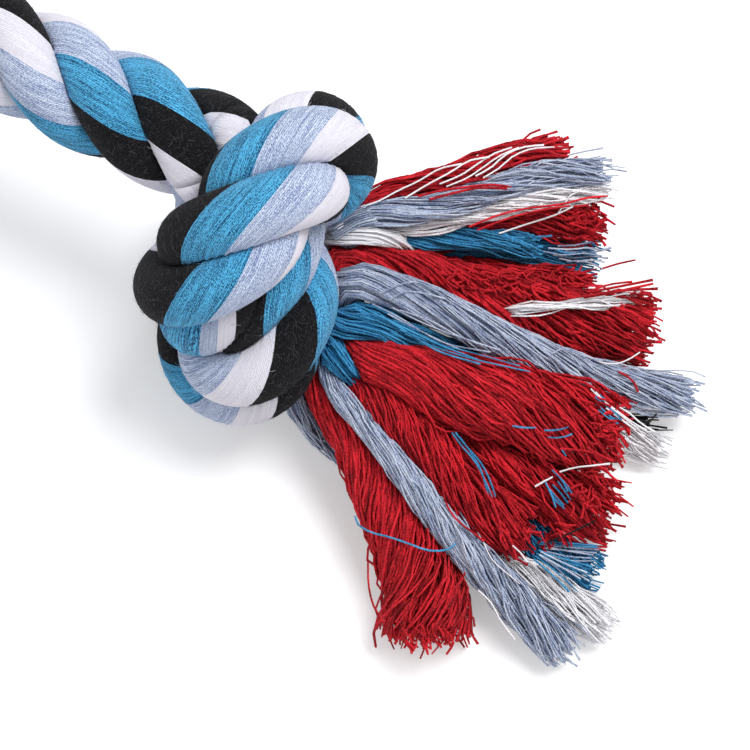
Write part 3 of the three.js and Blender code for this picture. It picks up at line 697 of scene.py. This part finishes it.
# A tree that stands fibres on the yarns of one colour, each bent and lying its own way
fuzz_tree, given = tree_with("fibres_on_yarns", {
    "Yarn": "Material", "Lint": "Material", "Fibres Per Area": "Float", "Length": "Float",
    "Radius": "Float", "Seed": "Int",
})
chosen = node(fuzz_tree, "GeometryNodeMaterialSelection", {}, {"Material": given["Yarn"]})
roots = node(
    fuzz_tree, "GeometryNodeDistributePointsOnFaces", {},
    {"Mesh": given["Geometry"], "Selection": chosen, "Density": given["Fibres Per Area"],
     "Seed": given["Seed"]},
)
bent = node(
    fuzz_tree, "GeometryNodeCurveQuadraticBezier", {},
    {"Resolution": 2, "Start": (0, 0, 0), "Middle": (0.5, 0, 0.2), "End": (0.9, 0.45, 0.12)},
)
size = node(fuzz_tree, "ShaderNodeCombineXYZ", {}, {i: given["Length"] for i in range(3)})
sized = node(fuzz_tree, "GeometryNodeTransform", {}, {"Geometry": bent, "Scale": size})
fine = node(fuzz_tree, "GeometryNodeCurvePrimitiveCircle", {}, {"Resolution": 3, "Radius": given["Radius"]})
fibre = node(fuzz_tree, "GeometryNodeCurveToMesh", {}, {"Curve": sized, "Profile Curve": fine})
swung = node(
    fuzz_tree, "FunctionNodeRandomValue", {"data_type": "FLOAT_VECTOR"},
    {0: (-0.25, -0.25, 0), 1: (0.25, 0.25, 2 * math.pi)},
)
swing = node(fuzz_tree, "FunctionNodeEulerToRotation", {}, {"Euler": swung.outputs[0]})
stance = node(
    fuzz_tree, "FunctionNodeRotateRotation", {"rotation_space": "LOCAL"},
    {"Rotation": roots.outputs["Rotation"], "Rotate By": swing},
)
longer = node(
    fuzz_tree, "FunctionNodeRandomValue", {"data_type": "FLOAT"},
    {2: FIBRE_LENGTHS[0], 3: FIBRE_LENGTHS[1], "Seed": 5},
)
grown_on = node(
    fuzz_tree, "GeometryNodeInstanceOnPoints", {},
    {"Points": roots.outputs["Points"], "Instance": fibre, "Rotation": stance, "Scale": longer.outputs[1]},
)
marked = node(
    fuzz_tree, "GeometryNodeStoreNamedAttribute", {"data_type": "BOOLEAN", "domain": "INSTANCE"},
    {"Geometry": grown_on, "Name": "fibre", "Value": True},
)
joined = node(fuzz_tree, "GeometryNodeJoinGeometry")
for source in (marked.outputs[0], given["Geometry"]):
    fuzz_tree.links.new(source, joined.inputs[0])
real = node(fuzz_tree, "GeometryNodeRealizeInstances", {}, {"Geometry": joined})
is_fibre = node(fuzz_tree, "GeometryNodeInputNamedAttribute", {"data_type": "BOOLEAN"}, {"Name": "fibre"})
coloured = node(
    fuzz_tree, "GeometryNodeSetMaterial", {},
    {"Geometry": real, "Selection": is_fibre, "Material": given["Lint"]},
)
node(fuzz_tree, "NodeGroupOutput", {}, {"Geometry": coloured})


def grown(name, source, tree, values):
    """Runs a mesh through a tree with its named inputs and gives the plain mesh that comes out."""
    maker = linked(bpy.data.objects.new(f"{name}_maker", source))
    modifier = maker.modifiers.new("nodes", "NODES")
    modifier.node_group = tree
    sockets = {s.name: s.identifier for s in tree.interface.items_tree if s.in_out == "INPUT"}
    for key, value in values.items():
        modifier[sockets[key]] = value
    graph = bpy.context.evaluated_depsgraph_get()
    mesh = bpy.data.meshes.new_from_object(maker.evaluated_get(graph), depsgraph=graph)
    mesh.name = name
    bpy.data.objects.remove(maker)
    return mesh


# Strands
skin_slots = np.repeat(np.arange(len(SKIN_YARNS)), list(SKIN_YARNS.values()))
for k in range(STRAND_COUNT):
    skin, along = strand_skin(k)
    for stretch, start, end in (
        ("rope", -KNOT_MOUTH, KNOT_MOUTH),
        ("near_knot", KNOT_MOUTH, math.inf),
        ("far_knot", -math.inf, -KNOT_MOUTH),
    ):
        rows = np.flatnonzero((from_middle >= start - RING_STEP / 2) & (from_middle <= end + RING_STEP / 2))
        name = f"{stretch}_strand_{STRAND_NAMES[k]}"
        grid = skin[rows].copy()
        grid[..., 2] = np.maximum(grid[..., 2], 0.0)
        skins = [LAID_YARN[colour] for colour in SKIN_YARNS]
        mesh = grid_mesh(
            f"laid_{name}", grid, LINES_ROUND, along[rows] + PATTERN_SHIFT * k, skin_slots, skins
        )
        for order, (colour, per_area) in enumerate(FIBRES.items()):
            mesh = grown(f"laid_{name}", mesh, fuzz_tree, {
                "Yarn": LAID_YARN[colour], "Lint": LINT[colour], "Fibres Per Area": per_area / MM ** 2,
                "Length": FIBRE_LENGTH * MM, "Radius": FIBRE_RADIUS * MM, "Seed": FIBRE_SEED * k + order,
            })
            if "fibre" in mesh.attributes:
                mesh.attributes.remove(mesh.attributes["fibre"])
        points = np.empty(3 * len(mesh.vertices), np.float32)
        mesh.vertices.foreach_get("co", points)
        points[2::3] = np.maximum(points[2::3], 0)  # the fibres under the toy lie flat on the floor
        mesh.vertices.foreach_set("co", points)
        piece = linked(bpy.data.objects.new(f"laid_{name}", mesh))
        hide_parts(name)
        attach(piece, "root")
        if stretch == "rope":  # the free rope, from one knot to the other
            line = strands[k][rows] * MM


# Tassels
def fanned(routes, strand, offset):
    """The middle lines of bundles that leave one strand's end evenly spread about it."""
    forward = directions(strand)[-1]
    end = strand[-1] + rope_forward[-1] * BUNDLE_START
    up = np.array((0, 0, 1.0)) - forward * forward[2]
    up /= np.linalg.norm(up)
    side = np.cross(forward, up)
    found = []
    for name, route in routes:
        way = np.array(route[0], float) - end
        found.append((math.atan2(way @ side, way @ up), name, route))
    found.sort()
    turn = 2 * math.pi / len(found)
    shift = sum(angle - n * turn for n, (angle, _, _) in enumerate(found)) / len(found)
    lines = {}
    for n, (_, name, route) in enumerate(found):
        angle = shift + n * turn
        start = end + up * (offset * math.cos(angle)) + side * (offset * math.sin(angle))
        lead = start + rope_forward[-1] * BUNDLE_LEAD
        lines[name] = through([start, lead, *route], 1.0, 0)
    return lines


bundle_lines = {}
for k in range(STRAND_COUNT):
    for core in (True, False):
        mine = [
            (name, route) for name, (_, route) in BUNDLES.items()
            if name[0] == STRAND_NAMES[k] and ("red" in name) == core
        ]
        bundle_lines.update(fanned(mine, strands[k], CORE_START_OFFSET if core else BUNDLE_START_OFFSET))
slipped_lines = {
    name: through([strands[STRAND_NAMES.index(name[0])][-1], *route], 1.0, 0)
    for name, (_, route) in SLIPPED_YARNS.items()
}
end_spread = {name: spread for name, (spread, _) in (BUNDLES | SLIPPED_YARNS).items()}
knot_rows = np.flatnonzero((from_middle > KNOT_MOUTH) & (from_middle < from_middle[-1] - THROAT_LENGTH))
knot_points = np.concatenate([line[knot_rows] for line in strands])


def bundle_spread(name, line):
    start = BUNDLE_WAISTS.get(name, min(BUNDLE_START_RADIUS, end_spread[name]))
    share = smooth_step(np.linspace(0, 1, len(line))) ** (2 if name in BUNDLE_WAISTS else 1)
    return start + (end_spread[name] - start) * share


def bundle_reach(name, line, ways):
    """How far a bundle spreads each way at each point of its line, among the others and the knot."""
    others = {
        key: other for key, other in (bundle_lines | slipped_lines).items()
        if key != name and end_spread[key] > FEW_YARNS
    }
    points = np.concatenate(list(others.values()))
    radii = np.concatenate([bundle_spread(key, other) for key, other in others.items()])
    swollen = STRAND_RADIUS * SWELL_RADIUS + LOOSE_YARN_RADIUS
    out = []
    for centre, each, most in zip(line, ways, bundle_spread(name, line)):
        reach = pressed(centre, each, most, points, radii, 2 * LOOSE_YARN_RADIUS)
        to = knot_points - centre
        apart = np.linalg.norm(to, axis=1)
        clear = room(apart - swollen, each @ (to / apart[:, None]).T)
        out.append(np.maximum(np.minimum(reach, clear), LEAST_REACH))
    return np.array(out)


def loose_yarns(name, line, seed):
    """A bundle's yarns: each keeps its place across the bundle, turns with it and wanders. The first
    thing given is a list of every yarn's points, the second the rings of the yarns packed inside."""
    rng = np.random.default_rng(seed)
    forward = directions(line)
    up = carried(forward, 0, (0, 0, 1))
    side = np.cross(forward, up)
    turns = np.linspace(0, 2 * math.pi, WAYS_ROUND + 1)
    ways = np.cos(turns)[None, :, None] * up[:, None] + np.sin(turns)[None, :, None] * side[:, None]
    reach = bundle_reach(name, line, ways)
    along = distances(line)
    turn_length = BUNDLE_TWIST * rng.uniform(0.8, 1.3)

    def placed(at, begun, rank, flick=0.0):
        """Points at these distances along the bundle, at a share of its reach."""
        inside = np.clip(at, 0, along[-1])
        share = inside / along[-1]
        centre = np.stack([np.interp(inside, along, line[:, a]) for a in range(3)], axis=1)
        centre += forward[0] * np.minimum(at, 0)[:, None] + forward[-1] * (at - inside).clip(0)[:, None]
        angle = begun + 2 * math.pi * at / turn_length
        column = (angle / (2 * math.pi)) % 1 * WAYS_ROUND
        row = share * (len(line) - 1)
        r0, c0 = np.minimum(row.astype(int), len(line) - 2), column.astype(int)
        fr, fc = row - r0, column - c0
        limit = (
            (reach[r0, c0] * (1 - fc) + reach[r0, c0 + 1] * fc) * (1 - fr)
            + (reach[r0 + 1, c0] * (1 - fc) + reach[r0 + 1, c0 + 1] * fc) * fr
        )
        out = (limit - LOOSE_YARN_RADIUS).clip(0.05) * rank + flick
        index = row.round().astype(int)
        high, wide = (out * np.cos(angle))[:, None], (out * np.sin(angle))[:, None]
        return centre + high * up[index] + wide * side[index]

    red = "red" in name
    spread = end_spread[name]
    count = int(YARNS_PER_SPREAD * spread ** SPREAD_POWER * (RED_COUNT if red else 1))
    order = rng.permutation((np.arange(count) + 0.5) / count)
    begun = np.arange(count) * math.pi * (3 - math.sqrt(5)) + rng.normal(0, 0.06, count)
    locks = round(LOCKS_PER_SPREAD * spread)
    deep = min(LOCK_DEPTH / spread, MOST_DEEP)
    begun += LOCK_GATHER / locks * np.sin(locks * begun)
    clump = rng.uniform(0, 2 * math.pi, 2)
    yarns = []
    for j in range(count):
        uneven = 0.14 * np.sin(2 * begun[j] + clump[0]) + 0.1 * np.sin(5 * begun[j] + clump[1])
        length = along[-1] + min((rng.normal(0, 0.3) + uneven) * LONGEST_TAIL, LONGEST_TAIL)
        at = np.linspace(-YARN_ROOT, length, int((length + YARN_ROOT) / YARN_STEP) + 2)
        share = np.clip(at / along[-1], 0, 1)
        flick = max(rng.normal(-1.6, 1.2), 0) * share ** 4  # a few yarns stand out at their ends
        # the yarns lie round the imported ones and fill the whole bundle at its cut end
        opened = smooth_step((share - OPENS_FROM) / OPENS_OVER)
        sunk = 0.5 * deep * (1 + math.cos(locks * begun[j]))  # the yarns between two locks lie lower
        rank = (1 - 0.1 * order[j] - sunk) * (1 - opened) + order[j] ** 0.5 * opened
        spot = placed(at, begun[j] + rng.normal(0, 0.25) * share, rank, flick)
        loosened = smooth_step(0.15 + share)[:, None]
        for wave, size in YARN_WAVES:
            wave *= rng.uniform(0.75, 1.3)
            phase = rng.uniform(0, 2 * math.pi, 3)
            sway = rng.normal(0, size * (RED_CRINKLE if red else 1), 3)
            spot += loosened * sway * np.sin(phase + 2 * math.pi * at[:, None] / wave)
        spot[:, 2] = np.maximum(spot[:, 2], LOOSE_YARN_RADIUS + 0.1)
        yarns.append((spot, at))
    at = np.arange(-YARN_ROOT, PACKED_END * along[-1], 1.0)
    closed = np.sqrt(np.clip((at[-1] + 1 - at) / (PACKED_TAPER * along[-1]), 0.02, 1))
    turns = 2 * math.pi * np.arange(WAYS_ROUND) / WAYS_ROUND
    packed = np.stack([placed(at, turn, (PACKED_SHARE - deep) * closed) for turn in turns], axis=1)
    packed[..., 2] = np.maximum(packed[..., 2], LOOSE_YARN_RADIUS)
    return yarns, (packed, at)


def stray_yarn(seen, under, step=1.5):
    """Points of a single yarn that lies over the bundles, from its points as the camera sees them."""
    flat = respaced(through([(*p, 0) for p in seen], 0.5, 0), step)
    right, upward, towards = (np.array(v) for v in (PICTURE_RIGHT, PICTURE_UP, TOWARDS_CAMERA))
    from_here = under - np.array(STRAY_MIDDLE)
    across, high, near = from_here @ right, from_here @ upward, from_here @ towards
    depth = np.zeros(len(flat))
    for i, (x, y, _) in enumerate(flat):
        below = near[(across - x) ** 2 + (high - y) ** 2 < STRAY_REACH ** 2]
        ground = (LOOSE_YARN_RADIUS - STRAY_MIDDLE.z - upward[2] * y) / towards[2]
        depth[i] = max([ground, *below]) + STRAY_LIFT
    for _ in range(2):
        depth[1:-1] = np.maximum(depth[1:-1], (depth[:-2] + depth[2:]) / 2)
    for order in (range(1, len(flat)), range(len(flat) - 2, -1, -1)):
        for i in order:
            behind = i - 1 if order.step > 0 else i + 1
            depth[i] = max(depth[i], depth[behind] - STRAY_DROOP)
    spot = np.array(STRAY_MIDDLE) + flat[:, :1] * right + flat[:, 1:2] * upward + depth[:, None] * towards
    return spot, distances(spot)


def cut_ends(under):
    """Short ends of red yarn that stand up in tufts where the scissors caught the bundles below."""
    rng = np.random.default_rng(CUT_END_SEED)
    ends = []
    for tuft, reach, count, way in CUT_ENDS:
        for _ in range(count):
            angle, far = rng.uniform(0, 2 * math.pi), math.sqrt(rng.uniform())
            start = np.array(tuft) + far * np.array(reach) * (math.cos(angle), math.sin(angle))
            turned = math.radians(way + rng.normal(0, CUT_END_FAN))
            half = CUT_END_LENGTH * rng.uniform(0.6, 1.3) / 2
            step = half * np.array((math.cos(turned), math.sin(turned)))
            bend = rng.normal(0, 0.25) * np.array((-step[1], step[0]))
            spot, at = stray_yarn([start, start + step + bend, start + 2 * step], under, 0.6)
            spot += np.outer((at / at[-1]) ** 2 * CUT_END_RISE * rng.uniform(0.1, 1), TOWARDS_CAMERA)
            ends.append((spot, at))
    return ends


# A tree that gives each yarn of a bundle its thickness, its UV and its material
yarn_tree, given = tree_with(
    "yarns_from_lines", {"Yarn Radius": "Float", "Sides": "Int", "Material": "Material"}
)
lines = node(yarn_tree, "GeometryNodeMeshToCurve", {}, {"Mesh": given["Geometry"]})
profile = node(
    yarn_tree, "GeometryNodeCurvePrimitiveCircle", {},
    {"Resolution": given["Sides"], "Radius": given["Yarn Radius"]},
)
marked = node(
    yarn_tree, "GeometryNodeStoreNamedAttribute", {"data_type": "FLOAT", "domain": "POINT"},
    {"Geometry": profile, "Name": "round",
     "Value": node(yarn_tree, "GeometryNodeSplineParameter").outputs["Factor"]},
)
thickness, number, turned, length = (
    node(yarn_tree, "GeometryNodeInputNamedAttribute", {"data_type": "FLOAT"}, {"Name": stored})
    for stored in ("thickness", "number", "round", "length")
)
tubes = node(
    yarn_tree, "GeometryNodeCurveToMesh", {},
    {"Curve": lines, "Profile Curve": marked, "Scale": thickness, "Fill Caps": True},
)
place = node(yarn_tree, "ShaderNodeMath", PLUS, {0: number, 1: turned})
both = node(yarn_tree, "ShaderNodeCombineXYZ", {}, {0: place, 1: length})
mapped = node(
    yarn_tree, "GeometryNodeStoreNamedAttribute", {"data_type": "FLOAT2", "domain": "CORNER"},
    {"Geometry": tubes, "Name": "yarns", "Value": both},
)
smooth = node(yarn_tree, "GeometryNodeSetShadeSmooth", {}, {"Geometry": mapped, "Shade Smooth": True})
real = node(yarn_tree, "GeometryNodeRealizeInstances", {}, {"Geometry": smooth})
dyed = node(yarn_tree, "GeometryNodeSetMaterial", {}, {"Geometry": real, "Material": given["Material"]})
node(yarn_tree, "NodeGroupOutput", {}, {"Geometry": dyed})


def yarn_lines(name, yarns, first_number):
    """Yarns as loose edges. Their points hold each one's number, thickness and the distance along it."""
    rng = np.random.default_rng(first_number)
    points = np.concatenate([spot for spot, _ in yarns])
    counts = [len(spot) for spot, _ in yarns]
    starts = set(np.cumsum(counts))
    edges = [(i, i + 1) for i in range(len(points) - 1) if i + 1 not in starts]
    mesh = bpy.data.meshes.new(name)
    mesh.from_pydata((points * MM).tolist(), edges, [])
    thickness = np.repeat(rng.uniform(0.8, 1.2, len(yarns)), counts)
    last = np.cumsum(counts) - 1
    thickness[last] *= rng.uniform(0.6, 1.5, len(yarns))  # some ends are fluffed up, some thin
    values = {
        "number": np.repeat(np.arange(len(yarns)) + first_number, counts),
        "length": np.concatenate([at for _, at in yarns]),
        "thickness": thickness,
    }
    for key, value in values.items():
        mesh.attributes.new(key, "FLOAT", "POINT").data.foreach_set("value", value.astype(np.float32))
    return mesh


def tassel_piece(name, yarns, packed, colour, first_number, node_name=None):
    """A bundle's yarns at the near knot, and the same turned half round at the far one."""
    mesh = grown(
        name, yarn_lines(name, yarns, first_number), yarn_tree,
        {"Yarn Radius": LOOSE_YARN_RADIUS * (RED_YARN if colour == "red" else 1) * MM,
         "Sides": YARN_SIDES, "Material": LOOSE_YARN[colour]},
    )
    if packed:
        both = bmesh.new()
        both.from_mesh(mesh)
        for n, (rings, at) in enumerate(packed):
            far_round = np.linalg.norm(np.diff(rings, axis=1), axis=2).sum(axis=1).mean()
            around = round(far_round / (2.1 * LOOSE_YARN_RADIUS))
            slots = np.ones(WAYS_ROUND, int)  # the second material, added below
            inner = grid_mesh(f"{name}_packed", rings, around, at + PACKED_SHIFT * n, slots, [])
            both.from_mesh(inner)
            bpy.data.meshes.remove(inner)
        both.to_mesh(mesh)
        both.free()
        # the packed yarns take their own material, darker than the loose yarns as painted shade
        mesh.materials.append(PAINTED_SHADE_PACKED_YARN[colour])
    turned = mesh.copy()
    turned.transform(Matrix.Rotation(math.pi, 4, "Z"))
    for end, part in (("near", mesh), ("far", turned)):
        piece = linked(bpy.data.objects.new(f"yarns_{end}_tassel_{name}", part))
        if node_name:
            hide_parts(f"{end}_tassel_{node_name}")
        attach(piece, "root")


everywhere = []
for order, (name, line) in enumerate(bundle_lines.items()):
    yarns, rings = loose_yarns(name, line, BUNDLE_SEED + order)
    packed = [rings]
    for other, route in slipped_lines.items():
        if other.startswith(name):
            more, rings = loose_yarns(other, route, SLIPPED_SEED + order)
            yarns += more
            packed.append(rings)
    everywhere += [spot for spot, _ in yarns]
    colour = next(colour for colour in LOOSE_YARN if colour in name)
    tassel_piece(name, yarns, packed, colour, PATTERN_SHIFT * order, name)
everywhere = np.concatenate(everywhere)
for order, colour in enumerate(LOOSE_YARN):
    yarns = [stray_yarn(np.reshape(seen, (-1, 2)) / 10, everywhere) for seen in STRAY_YARNS[colour]]
    if colour == "red":
        yarns += cut_ends(everywhere)
    tassel_piece(f"stray_{colour}", yarns, None, colour, STRAY_NUMBERS + 100 * order)

# Floor and light
floor = bpy.data.meshes.new("floor")
corners = [(PAPER_REACH * x, PAPER_REACH * y, 0) for x, y in ((-1, -1), (1, -1), (1, 1), (-1, 1))]
floor.from_pydata(corners, [], [(0, 1, 2, 3)])
floor = linked(bpy.data.objects.new("floor", floor))
# Matt white paper: it takes the toy's soft shadow, and to the camera alone it glows up to plain white
paper, tree = started("white_paper_floor")
seen = node(tree, "ShaderNodeLightPath").outputs["Is Camera Ray"]
amount = node(tree, "ShaderNodeMath", TIMES, {0: seen, 1: PAPER_GLOW})
matt = node(tree, "ShaderNodeBsdfDiffuse", {}, {"Color": PAPER})
glow = node(tree, "ShaderNodeEmission", {}, {"Strength": amount})
both = node(tree, "ShaderNodeAddShader", {}, {0: matt, 1: glow})
node(tree, "ShaderNodeOutputMaterial", {}, {"Surface": both})
floor.data.materials.append(paper)

world = bpy.data.worlds.new("soft_room")
bpy.context.scene.world = world
world.use_nodes = True
room_light = world.node_tree.nodes["Background"]
room_light.inputs["Color"].default_value = (1, 1, 1, 1)
room_light.inputs["Strength"].default_value = ROOM_STRENGTH
lamp = linked(bpy.data.objects.new("key", bpy.data.lights.new("key", "SUN")))
lamp.data.energy = LAMP_STRENGTH
lamp.data.angle = LAMP_WIDTH
lamp.rotation_mode = "QUATERNION"
lamp.rotation_quaternion = LAMP_PLACE.to_track_quat("Z", "Y")

bpy.context.scene.view_settings.view_transform = "Standard"
